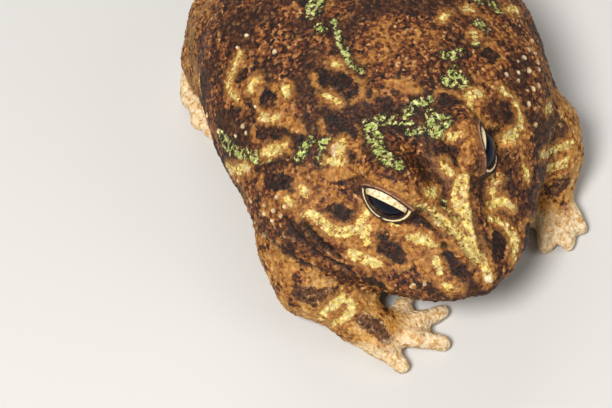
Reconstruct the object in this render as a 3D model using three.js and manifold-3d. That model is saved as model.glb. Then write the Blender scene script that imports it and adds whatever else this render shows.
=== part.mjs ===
// An Argentine horned frog, life size, sitting on the floor with its head turned a little to its left.
// Millimetres, +Z up. The frog's body faces -Y and its left side is +X. The whole animal is one smooth
// surface, where a field that is negative inside joins rounded forms softly. Thin cuts part the neck, the
// mouth and the wrists, and each arm, leg and foot keeps the room in which its own forms lie nearest.
import * as THREE from "three";
import { mergeVertices } from "three/addons/utils/BufferGeometryUtils.js";
import Module from "manifold-3d";

// Driving dimensions: the snout-vent length is about 112 mm and the head is 62 mm wide.
const HEAD_RADIUS = 30.5; // half the head's width at the jaw corners
const SNOUT = 9.5; // how far the snout reaches past that circle
const SNOUT_SHARPNESS = 6; // how narrow the snout is
const HEAD_BACK = 18; // from the line between the eyes back to the head circle's centre
const HEAD_TURN = THREE.MathUtils.degToRad(14); // the head turns to the frog's left
const MOUTH_Z = 20.5; // height of the mouth's line
const CROWN = 17.5; // from the mouth's line up to the crown
const THROAT = 14.5; // from the mouth's line down to the throat
const EYE_U = -1.2; // an eye's centre: forward,
const EYE_SIDE = 9.5; // from the middle plane
const EYE_Z = 38.2; // and above the floor
const EYE_RADIUS = 6.5;
const EYE_TOE_IN = THREE.MathUtils.degToRad(27); // how far forward of sideways an eye looks
const EYE_LIFT = THREE.MathUtils.degToRad(18); // and how far upwards
const EYE_OPENING = [5.3, 3.2]; // half the length and half the height between the lids
const OPENING_DROP = 1; // how far the opening's middle lies below the line of sight
const LID_THICKNESS = 1.3;
const NOSTRIL = { u: 11.5, v: 5.6, radius: 0.9 };
const TORSO = { x: -1, y: 42, z: 21, width: 82, length: 92, height: 49 };
const TORSO_POWER = 2.4; // how square the torso is, seen from the front
const SKULL_DEPTH = 19; // the mean distance from the skull's middle to its surface,
const TORSO_DEPTH = 27; // and the torso's
const FINGER_RADIUS = 2.0;
const GAP = 0.3; // what parts two nodes

// Rounded forms, each a rough distance in millimetres, negative inside.
const hypot = Math.hypot;
const clamp = (v, low, high) => Math.min(high, Math.max(low, v));

// Joins two distances with a fillet of about the size k.
function soft(a, b, k) {
  const h = Math.max(k - Math.abs(a - b), 0) / k;
  return Math.min(a, b) - (h * h * k) / 4;
}

// Cuts b's inside out of a, with the edge rounded by about k.
const carve = (a, b, k) => -soft(-a, b, k);

function ellipsoid([x, y, z], [cx, cy, cz], [rx, ry, rz], power = 2) {
  const ax = Math.abs(x - cx) / rx;
  const ay = Math.abs(y - cy) / ry;
  const az = Math.abs(z - cz) / rz;
  const q = (ax ** power + ay ** power + az ** power) ** (1 / power);
  const slope = hypot(ax / rx, ay / ry, az / rz) / (hypot(ax, ay, az) || 1e-9);
  return (q - 1) / (slope || 1e-9);
}

// A capsule between two points, thick ra at a and rb at b.
function taper([x, y, z], [ax, ay, az], [bx, by, bz], ra, rb) {
  const dx = bx - ax;
  const dy = by - ay;
  const dz = bz - az;
  const t = clamp(((x - ax) * dx + (y - ay) * dy + (z - az) * dz) / (dx * dx + dy * dy + dz * dz), 0, 1);
  return hypot(x - ax - t * dx, y - ay - t * dy, z - az - t * dz) - ra - t * (rb - ra);
}

// A chain of capsules through points of [x, y, z, radius].
function chain(p, points, k) {
  let d = 1e3;
  for (let i = 1; i < points.length; i++) {
    const [a, b] = [points[i - 1], points[i]];
    d = soft(d, taper(p, a, b, a[3], b[3]), k);
  }
  return d;
}

// The head's own axes: u forward from between the eyes, v to its left, z up.
const SIN = Math.sin(HEAD_TURN);
const COS = Math.cos(HEAD_TURN);
const toHead = ([x, y, z]) => [x * SIN - y * COS, x * COS + y * SIN, z];
const fromHead = ([u, v, z]) => [u * SIN + v * COS, -u * COS + v * SIN, z];

// How far the head reaches from its circle's centre, at an angle from straight ahead.
const headReach = (angle) => HEAD_RADIUS + SNOUT * Math.max(0, Math.cos(angle)) ** SNOUT_SHARPNESS;

function skull([u, v, z]) {
  const angle = Math.atan2(Math.abs(v), u + HEAD_BACK);
  const up = z > MOUTH_Z;
  const reach = headReach(angle) * (up ? 1 : 0.97);
  const rise = Math.abs(z - MOUTH_Z) / (up ? CROWN : THROAT);
  const power = up ? 1.85 : 2.4;
  const q = ((hypot(u + HEAD_BACK, v) / reach) ** power + rise ** power) ** (1 / power);
  return (q - 1) * SKULL_DEPTH;
}

// What each side of the head carries: the eye's bulge with its lid and small horn, and bony ridges.
function headSide(q) {
  const [u, v, z] = [q[0], Math.abs(q[1]), q[2]];
  const p = [u, v, z];
  const lid = chain(p, [[-7.4, 11.6, 38.4, 3.4], [-1.2, 9.9, 41.8, 4.2], [4.4, 7.2, 38.2, 2.8]], 3);
  const horn = taper(p, [-1.8, 11.4, 43.8], [-2.4, 13.4, 46.3], 2.4, 0.9);
  const bulge = hypot(u - EYE_U, v - EYE_SIDE, z - EYE_Z) - EYE_RADIUS - LID_THICKNESS;
  const snoutRidge = [[3.5, 7.2, 37, 2.4], [9, 3.4, 33, 2], [15.5, 1.2, 27.6, 1.7], [21.2, 0.2, 23, 1.4]];
  const canthus = chain(p, snoutRidge, 2);
  const parietal = chain(p, [[-8, 11.6, 38, 3], [-16, 13, 35.8, 2.6], [-24, 18.5, 31.5, 2.2]], 2);
  const lidded = soft(soft(lid, horn, 2.5), bulge, 2);
  return soft(soft(lidded, canthus, 3), parietal, 4);
}

// The padded edge of the upper lip, which runs round the head just above the mouth's line.
function lip([u, v, z]) {
  const angle = Math.atan2(Math.abs(v), u + HEAD_BACK);
  const out = hypot(u + HEAD_BACK, v) - headReach(angle) + 1.2;
  return hypot(out, (z - MOUTH_Z - 1.8) * 0.8) - 1.5;
}

function headField(p) {
  const q = toHead(p);
  const [u, v, z] = [q[0], Math.abs(q[1]), q[2]];
  let d = soft(skull(q), headSide(q), 4);
  d = soft(d, lip(q), 2);
  const cheek = ellipsoid([u, v, z], [-17, 24, 24], [13, 8.5, 9]);
  d = soft(d, cheek, 5);
  // A shallow trough down the middle of the crown and the snout, between the ridges.
  d = carve(d, ellipsoid([u, v, z], [-5, 0, 41.5], [14, 5, 6.4]), 4);
  // The loreal hollow between the ridge and the lip.
  d = carve(d, ellipsoid([u, v, z], [10, 9.6, 35], [7, 4, 5.4]), 4);
  return d;
}

function torsoField([x, y, z]) {
  const t = TORSO;
  const across = hypot((x - t.x) / (t.width / 2), (y - t.y) / (t.length / 2));
  const up = Math.abs(z - t.z) / (t.height / 2);
  const q = (across ** TORSO_POWER + up ** TORSO_POWER) ** (1 / TORSO_POWER);
  let d = (q - 1) * TORSO_DEPTH;
  // The back stands highest over the shoulders, and the rump slopes down to the vent.
  d = soft(d, ellipsoid([x, y, z], [0, 26, 24], [29, 26, 19.5]), 12);
  return soft(d, ellipsoid([x, y, z], [0, 78, 13], [18, 12, 11]), 10);
}

// The two arms stand differently, as in the picture. Points are [x, y, z, radius].
const ARMS = {
  right: {
    arm: [[-26, 22, 17, 10], [-31, 8, 13, 8.2]],
    forearm: [[-31, 8, 13, 8.2], [-30, -1, 9.8, 7.4], [-22, -11.5, 5.8, 5.4]],
    palm: [[-22, -11.5, 5.8, 5.2], [-18.5, -15, 3.8, 4.4]],
    knuckles: [[-19.5, -17.5, 2.8, 3.2], [-13.5, -14, 2.9, 3.2]],
    fingers: [
      [[-19, -17, 2.6], [-18.2, -20.5, 3.2], [-16, -24.6, 1.7]],
      [[-16, -16.5, 2.7], [-10.8, -19.2, 3.4], [-5.2, -21.6, 1.7]],
      [[-14, -15, 2.7], [-8.5, -15, 3.3], [-2.8, -13.8, 1.7]],
      [[-14.5, -13, 2.6], [-11, -10, 2.9], [-8.5, -6, 1.7]],
    ],
  },
  left: {
    arm: [[28, 28, 18, 9.5], [33.3, 19, 15, 8.2]],
    forearm: [[33.3, 19, 15, 8.2], [33.4, 13.5, 11, 7.2], [32, 9, 6.2, 5.2]],
    palm: [[32, 9, 6, 5], [30.8, 5.8, 3.8, 4.2]],
    knuckles: [[33, 4.2, 2.8, 3], [28, 5.2, 2.9, 3]],
    fingers: [
      [[33.4, 4.8, 2.6], [35, 1.2, 3.1], [36, -2.6, 1.7]],
      [[31.8, 3.4, 2.7], [32, -0.8, 3.4], [31.6, -5.2, 1.7]],
      [[29.4, 3.8, 2.7], [28, -0.4, 3.3], [26.4, -4.4, 1.7]],
      [[28.4, 5.6, 2.6], [25, 4, 2.9], [21.6, 2.6, 1.7]],
    ],
  },
};
const THUMB_SHRINK = 0.92;

// A leg folded against the flank, given for the left side: thigh forward, shin back, foot forward again.
const LEG = {
  thigh: [[19, 75, 17, 11.3], [27.5, 67, 18, 10.6], [32, 56, 14.5, 8.2]],
  shin: [[32, 56, 13.5, 8.2], [34.2, 69, 11, 7.2], [30, 86, 7.2, 5.4]],
  tarsus: [[30, 86, 6.8, 5], [34.8, 81.5, 4.2, 4.2]],
  sole: [[34.5, 81.5, 4.2, 4.2], [37, 73, 3, 3.6]],
  spade: [[33.5, 77, 2.4, 2.2], [32, 74, 1.8, 1.5]],
  toes: [
    [[35, 72, 2.5], [33.8, 67.5, 2.6], [33, 63.5, 1.7]],
    [[36, 71, 2.5], [36, 64, 2.8], [35.6, 58.5, 1.7]],
    [[37.5, 70, 2.5], [38.8, 61, 2.9], [39.6, 52.5, 1.7]],
    [[38.6, 71, 2.5], [41, 64, 2.8], [42.4, 57.5, 1.7]],
    [[39, 74, 2.5], [41.4, 69.5, 2.6], [43, 65.5, 1.7]],
  ],
};

const handField = (p, a) => {
  let d = soft(chain(p, a.palm, 3), chain(p, a.knuckles, 3), 3);
  a.fingers.forEach((f, i) => {
    const size = FINGER_RADIUS * (i === 3 ? THUMB_SHRINK : 1);
    const points = f.map((q, j) => [...q, size * [1.3, 1.05, 0.95][j]]);
    d = soft(d, chain(p, points, 1), 1.6);
  });
  return d;
};
const armField = (p, a) => soft(soft(chain(p, a.arm, 5), chain(p, a.forearm, 4), 4), handField(p, a), 3);

function footField(p) {
  let d = soft(chain(p, LEG.sole, 3), chain(p, LEG.spade, 1), 1.5);
  LEG.toes.forEach((toe) => {
    const points = toe.map((q, j) => [...q, FINGER_RADIUS * [1.35, 1.05, 0.9][j]]);
    d = soft(d, chain(p, points, 1), 1.8);
  });
  return d;
}
function shankField(p) {
  const folded = soft(chain(p, LEG.thigh, 6), chain(p, LEG.shin, 3), 1.5);
  return soft(folded, chain(p, LEG.tarsus, 3), 2);
}
const toLeft = ([x, y, z]) => [Math.abs(x), y, z];
const legField = (p) => soft(shankField(toLeft(p)), footField(toLeft(p)), 2);

// The head and the torso, and the whole animal.
const bodyField = (p) => soft(headField(p), torsoField(p), 9);
function frogField(p) {
  let d = bodyField(p);
  const arms = Math.min(armField(p, ARMS.right), armField(p, ARMS.left));
  d = soft(d, arms, 3.5);
  return soft(d, legField(p), 3.5);
}

// A cell's corners are numbered by bits for x, y and z; an edge goes from a corner along one axis.
const AXIS_BITS = [1, 2, 4];
const CORNERS = [0, 1, 2, 3, 4, 5, 6, 7].map((m) => [m & 1, (m >> 1) & 1, m >> 2]);
const EDGES = CORNERS.flatMap((_, m) =>
  AXIS_BITS.map((bit, axis) => ({ from: m, to: m | bit, axis })).filter((e) => e.from !== e.to),
);
const edgeIndex = (m, axis) => EDGES.findIndex((e) => e.from === m && e.axis === axis);
const EDGE_AT = CORNERS.map((_, m) => AXIS_BITS.map((_, axis) => edgeIndex(m, axis)));
const CELL_FACES = AXIS_BITS.flatMap((bit) =>
  [0, bit].map((side) => {
    const holds = (m) => (m & bit) === side;
    return EDGES.map((e, n) => n).filter((n) => holds(EDGES[n].from) && holds(EDGES[n].to));
  }),
);

// Groups a cell's crossed edges into the separate sheets of surface that pass through it.
function sheetsOf(crossed, isIn) {
  const group = EDGES.map((_, n) => n);
  const root = (n) => (group[n] === n ? n : root(group[n]));
  CELL_FACES.forEach((face) => {
    const cuts = face.filter((n) => crossed[n]);
    if (cuts.length === 2) group[root(cuts[0])] = root(cuts[1]);
    if (cuts.length < 4) return;
    const innerCorner = (n) => (isIn[EDGES[n].from] ? EDGES[n].from : EDGES[n].to);
    cuts.forEach((a) => cuts.filter((b) => innerCorner(a) === innerCorner(b)).forEach((b) => {
      group[root(a)] = root(b);
    }));
  });
  return group.map((_, n) => (crossed[n] ? root(n) : -1));
}

// A closed mesh of the surface where a field is zero, within a box, as one vertex for each sheet in a cell.
// The box's own faces close it where the animal goes on past them.
function surfaceNet(field, low, high, cell) {
  const count = low.map((v, i) => Math.ceil((high[i] - v) / cell) + 1);
  const [nx, ny, nz] = count;
  const at = (i, j, k) => i + nx * (j + ny * k);
  const value = new Float64Array(nx * ny * nz);
  const inner = (n, most) => n > 0 && n < most - 1;
  for (let k = 0; k < nz; k++)
    for (let j = 0; j < ny; j++)
      for (let i = 0; i < nx; i++) {
        const f = field([low[0] + i * cell, low[1] + j * cell, low[2] + k * cell]);
        const open = inner(i, nx) && inner(j, ny) && inner(k, nz);
        value[at(i, j, k)] = open ? f : Math.max(f, cell / 4);
      }
  const points = [];
  const pinned = [];
  const vertexOf = new Map();
  for (let k = 0; k < nz - 1; k++)
    for (let j = 0; j < ny - 1; j++)
      for (let i = 0; i < nx - 1; i++) {
        const v = CORNERS.map(([a, b, c]) => value[at(i + a, j + b, k + c)]);
        const isIn = v.map((f) => f < 0);
        const crossed = EDGES.map((e) => isIn[e.from] !== isIn[e.to]);
        if (!crossed.includes(true)) continue;
        const sheets = sheetsOf(crossed, isIn);
        const edge = [i, j, k].some((c, n) => c < 1 || c > count[n] - 3);
        const vertices = new Array(EDGES.length).fill(-1);
        [...new Set(sheets)].filter((sheet) => sheet >= 0).forEach((sheet) => {
          const own = EDGES.map((_, n) => n).filter((n) => sheets[n] === sheet);
          const sum = [0, 0, 0];
          own.forEach((n) => {
            const { from, to } = EDGES[n];
            const t = v[from] / (v[from] - v[to]);
            sum.forEach((_, m) => (sum[m] += CORNERS[from][m] + t * (CORNERS[to][m] - CORNERS[from][m])));
          });
          own.forEach((n) => (vertices[n] = points.length));
          points.push([i, j, k].map((c, m) => low[m] + cell * (c + sum[m] / own.length)));
          pinned.push(edge);
        });
        vertexOf.set(at(i, j, k), vertices);
      }
  const faces = [];
  const axes = [[1, 0, 0], [0, 1, 0], [0, 0, 1]];
  for (let k = 0; k < nz - 1; k++)
    for (let j = 0; j < ny - 1; j++)
      for (let i = 0; i < nx - 1; i++)
        axes.forEach((axis, n) => {
          const next = at(i + axis[0], j + axis[1], k + axis[2]);
          const inside = value[at(i, j, k)] < 0;
          if (inside === value[next] < 0) return;
          const [b, c] = [axes[(n + 1) % 3], axes[(n + 2) % 3]];
          const around = [[0, 0], [1, 0], [1, 1], [0, 1]].map(([s, t]) => {
            const corner = b.map((_, m) => s * b[m] + t * c[m]);
            const bits = corner[0] + 2 * corner[1] + 4 * corner[2];
            return vertexOf.get(at(i - corner[0], j - corner[1], k - corner[2]))[EDGE_AT[bits][n]];
          });
          const quad = inside ? around : around.reverse();
          const span = (a, d) => hypot(...points[quad[a]].map((v, m) => v - points[quad[d]][m]));
          if (span(0, 2) < span(1, 3)) faces.push([quad[0], quad[1], quad[2]], [quad[0], quad[2], quad[3]]);
          else faces.push([quad[1], quad[2], quad[3]], [quad[1], quad[3], quad[0]]);
        });
  return { points, faces, pinned };
}

// Evens out a net's triangles, keeping each vertex on the field's surface.
const RELAX_STEPS = 6;
function relax(net, field) {
  const near = net.points.map(() => new Set());
  net.faces.forEach(([a, b, c]) => {
    near[a].add(b).add(c);
    near[b].add(a).add(c);
    near[c].add(a).add(b);
  });
  const nudge = 0.02;
  const onSurface = (p) => {
    for (let n = 0; n < 2; n++) {
      const f = field(p);
      const slope = [0, 1, 2].map((m) => (field(p.map((v, q) => v + (q === m ? nudge : 0))) - f) / nudge);
      const steep = hypot(...slope) ** 2;
      const step = clamp(f / Math.max(steep, 0.05), -0.6, 0.6);
      p = p.map((v, m) => v - step * slope[m]);
    }
    return p;
  };
  for (let step = 0; step < RELAX_STEPS; step++)
    net.points = net.points.map((p, i) => {
      if (net.pinned[i]) return p;
      const mean = [0, 0, 0];
      near[i].forEach((j) => mean.forEach((_, n) => (mean[n] += net.points[j][n] / near[i].size)));
      return onSurface(p.map((v, n) => v + 0.6 * (mean[n] - v)));
    });
}

// Closed solids from three.js geometry.
const wasm = await Module();
wasm.setup();
function solidFrom(geometry) {
  const bare = geometry.clone();
  bare.deleteAttribute("normal");
  bare.deleteAttribute("uv");
  const merged = mergeVertices(bare, 1e-4);
  const mesh = { numProp: 3, vertProperties: merged.attributes.position.array };
  mesh.triVerts = new Uint32Array(merged.index.array);
  return new wasm.Manifold(new wasm.Mesh(mesh));
}
function solidOfNet({ points, faces }) {
  const geometry = new THREE.BufferGeometry();
  geometry.setAttribute("position", new THREE.BufferAttribute(new Float32Array(points.flat()), 3));
  geometry.setIndex(faces.flat());
  return solidFrom(geometry);
}
function geometryOf(solid) {
  const { numProp, vertProperties, triVerts } = solid.getMesh();
  const positions = new Float32Array((vertProperties.length / numProp) * 3);
  for (let i = 0; i < positions.length / 3; i++)
    positions.set(vertProperties.subarray(i * numProp, i * numProp + 3), i * 3);
  const geometry = new THREE.BufferGeometry();
  geometry.setAttribute("position", new THREE.BufferAttribute(positions, 3));
  geometry.setIndex(new THREE.BufferAttribute(new Uint32Array(triVerts), 1));
  geometry.computeVertexNormals();
  return geometry;
}

// A thin round cut at a point, square to a direction.
const DISC_SIDES = 24;
function disc(at, towards, radius) {
  const geometry = new THREE.CylinderGeometry(radius, radius, GAP, DISC_SIDES);
  const turn = new THREE.Quaternion();
  turn.setFromUnitVectors(new THREE.Vector3(0, 1, 0), new THREE.Vector3(...towards).normalize());
  return solidFrom(geometry.applyQuaternion(turn).translate(...at));
}

const ground = solidFrom(new THREE.BoxGeometry(400, 400, 60).translate(0, 0, -30));
const neckCut = disc(fromHead([-22, 0, 18]), fromHead([1, 0, 0.12]), 70);
const wristCut = {
  right: disc([-20.8, -12.6, 5.2], [0.74, -0.66, -0.2], 7.5),
  left: disc([32, 7.4, 5.6], [-0.12, -0.8, -0.6], 8),
};

// The slit of the mouth, which follows its line back to the jaw's corner and on to the neck.
const SLIT_WIDTH = 130;
function mouthCut() {
  const line = [[30, 0.2], [18, -0.6], [6, -0.9], [-6, 0.2], [-16, 1.6], [-24, 0.6], [-40, -1]];
  const slit = (shift) => line.map(([u, rise]) => new THREE.Vector2(u, MOUTH_Z - 0.6 + rise + shift));
  const outline = new THREE.Shape([...slit(GAP / 2), ...slit(-GAP / 2).reverse()]);
  const geometry = new THREE.ExtrudeGeometry(outline, { depth: SLIT_WIDTH, bevelEnabled: false });
  geometry.translate(0, 0, -SLIT_WIDTH / 2).rotateX(Math.PI / 2);
  geometry.rotateZ(HEAD_TURN - Math.PI / 2);
  return solidFrom(geometry);
}

// The room that belongs to a limb: where its own forms lie nearer than the rest's. The grown copy is wider by
// the gap, so what a node keeps of the room and what its neighbour loses stand apart by it.
function territory(own, rest, low, high, cell) {
  const field = (p) => own(p) - rest(p);
  const net = surfaceNet(field, low, high, cell);
  const geometry = new THREE.BufferGeometry();
  geometry.setAttribute("position", new THREE.BufferAttribute(new Float32Array(net.points.flat()), 3));
  geometry.setIndex(net.faces.flat());
  geometry.computeVertexNormals();
  const normal = geometry.attributes.normal;
  const points = net.points.map((p, i) => [
    p[0] + GAP * normal.getX(i), p[1] + GAP * normal.getY(i), p[2] + GAP * normal.getZ(i),
  ]);
  return { room: solidOfNet(net), grown: solidOfNet({ points, faces: net.faces }) };
}

const mirrored = (low, high) => [[-high[0], low[1], low[2]], [-low[0], high[1], high[2]]];
const ARM_BOX = { right: [[-46, -32, -4], [4, 36, 34]], left: [[13, -14, -4], [47, 40, 34]] };
const LEG_BOX = { left: [[6, 42, -4], [50, 98, 34]] };
LEG_BOX.right = mirrored(...LEG_BOX.left);
const TERRITORY_CELL = 3;
const rooms = {};
["right", "left"].forEach((side) => {
  const arm = (p) => armField(p, ARMS[side]);
  rooms["arm_" + side] = territory(arm, bodyField, ...ARM_BOX[side], TERRITORY_CELL);
  rooms["leg_" + side] = territory(legField, bodyField, ...LEG_BOX[side], TERRITORY_CELL);
  const foot = (p) => footField(toLeft(p));
  const shank = (p) => shankField(toLeft(p));
  rooms["foot_" + side] = territory(foot, shank, ...LEG_BOX[side], TERRITORY_CELL);
});
const limbs = ["arm_right", "arm_left", "leg_right", "leg_left"].map((name) => rooms[name].grown);

// An eye's own axes: outwards through the pupil, along the lids, and up between them.
function eyeAxes(side) {
  const ahead = Math.sin(EYE_TOE_IN) * Math.cos(EYE_LIFT);
  const aside = side * Math.cos(EYE_TOE_IN) * Math.cos(EYE_LIFT);
  const out = new THREE.Vector3(...fromHead([ahead, aside, Math.sin(EYE_LIFT)]));
  const along = new THREE.Vector3(0, 0, 1).cross(out).normalize();
  return { out, along, up: out.clone().cross(along) };
}
const eyeAt = (side) => new THREE.Vector3(...fromHead([EYE_U, side * EYE_SIDE, EYE_Z]));
const SPHERE_SIDES = [18, 11];
const SIDES = { right: -1, left: 1 };
function eyeball(side, radius) {
  return solidFrom(new THREE.SphereGeometry(radius, ...SPHERE_SIDES).translate(...eyeAt(side)));
}

// The opening between the lids, an almond cut from the lids' skin in front of the eyeball.
function lidOpening(side) {
  const { out, along, up } = eyeAxes(side);
  const [length, height] = EYE_OPENING;
  const geometry = new THREE.SphereGeometry(1, 16, 8).scale(length, height, 5);
  geometry.applyMatrix4(new THREE.Matrix4().makeBasis(along, up, out));
  const middle = eyeAt(side).addScaledVector(out, EYE_RADIUS).addScaledVector(up, -OPENING_DROP);
  return solidFrom(geometry.translate(...middle));
}

// The nostrils, two pits on the skin's surface beside the snout's ridges.
function nostril(side) {
  let z = MOUTH_Z + 2;
  while (frogField(fromHead([NOSTRIL.u, side * NOSTRIL.v, z])) < 0) z += 0.05;
  const at = fromHead([NOSTRIL.u, side * NOSTRIL.v, z]);
  return solidFrom(new THREE.SphereGeometry(NOSTRIL.radius, 10, 8).translate(...at));
}

const headCuts = [neckCut, mouthCut(), ...limbs];
Object.values(SIDES).forEach((side) => {
  headCuts.push(eyeball(side, EYE_RADIUS + GAP), lidOpening(side), nostril(side));
});

// The nodes of flesh: where each lies, its cell size, the room it keeps to, its cuts and a point in it.
const HEAD_BOX = [[-46, -32, -2], [46, 42, 52]];
const FLESH = {
  head: { box: HEAD_BOX, cell: 2.6, cuts: headCuts, seed: [0, 5, 28] },
  lower_jaw: { box: HEAD_BOX, cell: 3.8, cuts: headCuts, seed: [0, 0, 14] },
  torso: { box: [[-48, 0, -4], [46, 94, 52]], cell: 5.4, cuts: [neckCut, ...limbs], seed: [0, 45, 20] },
};
["right", "left"].forEach((side) => {
  const a = ARMS[side];
  const s = SIDES[side];
  const arm = { box: ARM_BOX[side], keep: rooms["arm_" + side].room, cuts: [wristCut[side]] };
  FLESH["foreleg_" + side] = { ...arm, cell: 2.8, seed: a.forearm[1].slice(0, 3) };
  FLESH["hand_" + side] = { ...arm, cell: 1.8, seed: a.palm[1].slice(0, 3) };
  const leg = { box: LEG_BOX[side], keep: rooms["leg_" + side].room };
  const [kneeX, kneeY, kneeZ] = LEG.shin[1];
  const [soleX, soleY, soleZ] = LEG.sole[1];
  const foot = rooms["foot_" + side];
  FLESH["hind_leg_" + side] = { ...leg, cell: 3.4, cuts: [foot.grown], seed: [s * kneeX, kneeY, kneeZ] };
  FLESH["foot_" + side] = { ...leg, cell: 2, cuts: [], also: foot.room, seed: [s * soleX, soleY, soleZ] };
});

// Meshes a node's share of the animal and keeps the one body that holds its point.
function fleshSolid({ box, cell, keep, also, cuts, seed }) {
  const net = surfaceNet(frogField, ...box, cell);
  relax(net, frogField);
  let solid = solidOfNet(net).subtract(ground);
  [keep, also].filter(Boolean).forEach((room) => (solid = solid.intersect(room)));
  cuts.forEach((cut) => (solid = solid.subtract(cut)));
  const probe = solidFrom(new THREE.BoxGeometry(0.2, 0.2, 0.2).translate(...seed));
  return solid.decompose().find((body) => body.intersect(probe).volume() > 0);
}

const SKIN = new THREE.MeshStandardMaterial({ color: 0x7a5230, roughness: 0.75, metalness: 0 });
const EYE = new THREE.MeshStandardMaterial({ color: 0x14161c, roughness: 0.08, metalness: 0 });
const frog = new THREE.Group();
frog.name = "horned_frog";
function add(name, solid, material) {
  const mesh = new THREE.Mesh(geometryOf(solid), material);
  mesh.name = name;
  frog.add(mesh);
}
Object.entries(FLESH).forEach(([name, node]) => add(name, fleshSolid(node), SKIN));
Object.entries(SIDES).forEach(([side, s]) => add("eye_" + side, eyeball(s, EYE_RADIUS), EYE));

// The frame's origin is the middle of the bounding box, on the floor.
const bounds = new THREE.Box3().setFromObject(frog);
const middle = bounds.getCenter(new THREE.Vector3());
frog.position.set(-middle.x, -middle.y, -bounds.min.z);

export default frog;
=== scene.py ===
import itertools
import math

import bmesh
import bpy
import numpy as np
from mathutils import Matrix, Vector
from mathutils.bvhtree import BVHTree
from mathutils.kdtree import KDTree

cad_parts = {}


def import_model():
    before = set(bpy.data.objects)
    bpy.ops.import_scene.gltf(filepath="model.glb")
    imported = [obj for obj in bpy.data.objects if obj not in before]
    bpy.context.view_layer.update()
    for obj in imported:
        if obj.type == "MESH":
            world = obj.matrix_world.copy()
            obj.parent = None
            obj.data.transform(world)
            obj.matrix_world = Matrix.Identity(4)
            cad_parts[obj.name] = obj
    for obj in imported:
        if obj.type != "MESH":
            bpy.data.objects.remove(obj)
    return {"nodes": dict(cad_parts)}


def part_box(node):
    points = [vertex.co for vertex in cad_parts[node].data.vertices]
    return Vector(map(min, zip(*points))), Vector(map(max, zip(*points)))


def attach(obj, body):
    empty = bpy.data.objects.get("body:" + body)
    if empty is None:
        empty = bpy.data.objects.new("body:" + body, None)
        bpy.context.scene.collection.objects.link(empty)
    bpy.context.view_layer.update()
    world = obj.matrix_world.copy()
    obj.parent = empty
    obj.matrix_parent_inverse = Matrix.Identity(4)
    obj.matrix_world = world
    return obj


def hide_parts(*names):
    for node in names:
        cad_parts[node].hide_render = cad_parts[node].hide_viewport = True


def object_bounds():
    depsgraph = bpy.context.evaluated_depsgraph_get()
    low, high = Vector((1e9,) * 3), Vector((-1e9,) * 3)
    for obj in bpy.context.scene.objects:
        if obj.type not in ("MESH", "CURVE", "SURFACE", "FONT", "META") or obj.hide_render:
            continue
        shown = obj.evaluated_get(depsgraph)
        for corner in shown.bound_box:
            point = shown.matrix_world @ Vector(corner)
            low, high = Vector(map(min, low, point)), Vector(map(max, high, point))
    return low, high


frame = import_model()
CAD_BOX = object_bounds()

# One skin goes over the frame's nodes of flesh, with granules, folds, lids and markings, and an
# eyeball goes in for each eye node.

# Lengths are millimetres unless they say otherwise. They are measured along the axes of the packed
# frame from the head's foot, which is the point on the floor under the head's turning point.
MM = 0.001

# What the frame gives: the eyes, the head's turn and the head's foot
SIDES = {"right": -1, "left": 1}
FLESH = [name for name in frame["nodes"] if not name.startswith("eye_")]
EYE_SETBACK = 1.2


def middle_of(node):
    low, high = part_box(node)
    return np.array((low + high) / 2) / MM


EYES_APART = middle_of("eye_left") - middle_of("eye_right")
HEAD_TURN = math.atan2(EYES_APART[1], EYES_APART[0])
HEAD_AHEAD = np.array([math.sin(HEAD_TURN), -math.cos(HEAD_TURN), 0])
HEAD_LEFT = np.array([math.cos(HEAD_TURN), math.sin(HEAD_TURN), 0])
UP = np.array([0, 0, 1])
BETWEEN_EYES = (middle_of("eye_left") + middle_of("eye_right")) / 2
ORIGIN = np.append((BETWEEN_EYES + EYE_SETBACK * HEAD_AHEAD)[:2], 0)
EYE_CENTRE = {side: middle_of("eye_" + side) - ORIGIN for side in SIDES}
EYE_RADIUS = 6.5

# The camera, worked out from the photograph: the point it is aimed at and that point's pixel
PHOTO_SIZE = (612, 408)
CAMERA_AIM = np.array([0, 0, 38])
CAMERA_AIM_PIXEL = (434, 174)
CAMERA_AZIMUTH = math.radians(-19)
CAMERA_ELEVATION = math.radians(55)
CAMERA_DISTANCE = 450
FOCAL_PIXELS = 2025
SENSOR_WIDTH = 36
CLIP_METRES = (0.01, 20)


def unit(vector):
    return np.asarray(vector, float) / np.linalg.norm(vector)


def smooth_step(low, high, value):
    share = np.clip((value - low) / (high - low), 0, 1)
    return share * share * (3 - 2 * share)


def bell(value, width):
    """1 at nought, falling to nothing a few widths away."""
    return np.exp(-((value / width) ** 2))


def world(point):
    """A point in millimetres from the head's foot as a Blender vector in metres."""
    return Vector((np.asarray(point) + ORIGIN) * MM)


def local(point):
    """A point in metres as an array in millimetres from the head's foot."""
    return np.array(point) / MM - ORIGIN


# Camera
def photo_axes():
    """Right, up and back of a camera that looks straight at the middle of the photograph."""
    back = np.array(
        [
            math.sin(CAMERA_AZIMUTH) * math.cos(CAMERA_ELEVATION),
            -math.cos(CAMERA_AZIMUTH) * math.cos(CAMERA_ELEVATION),
            math.sin(CAMERA_ELEVATION),
        ]
    )
    right = np.array([math.cos(CAMERA_AZIMUTH), math.sin(CAMERA_AZIMUTH), 0])
    up = np.cross(back, right)
    off_x = PHOTO_SIZE[0] / 2 - CAMERA_AIM_PIXEL[0]
    off_y = PHOTO_SIZE[1] / 2 - CAMERA_AIM_PIXEL[1]
    through_middle = unit(-back + (right * off_x - up * off_y) / FOCAL_PIXELS)
    turn = Vector(back).rotation_difference(Vector(-through_middle))
    place = CAMERA_AIM + back * CAMERA_DISTANCE
    return place, [np.array(turn @ Vector(axis)) for axis in (right, up, back)]


CAMERA_PLACE, CAMERA_AXES = photo_axes()


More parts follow.
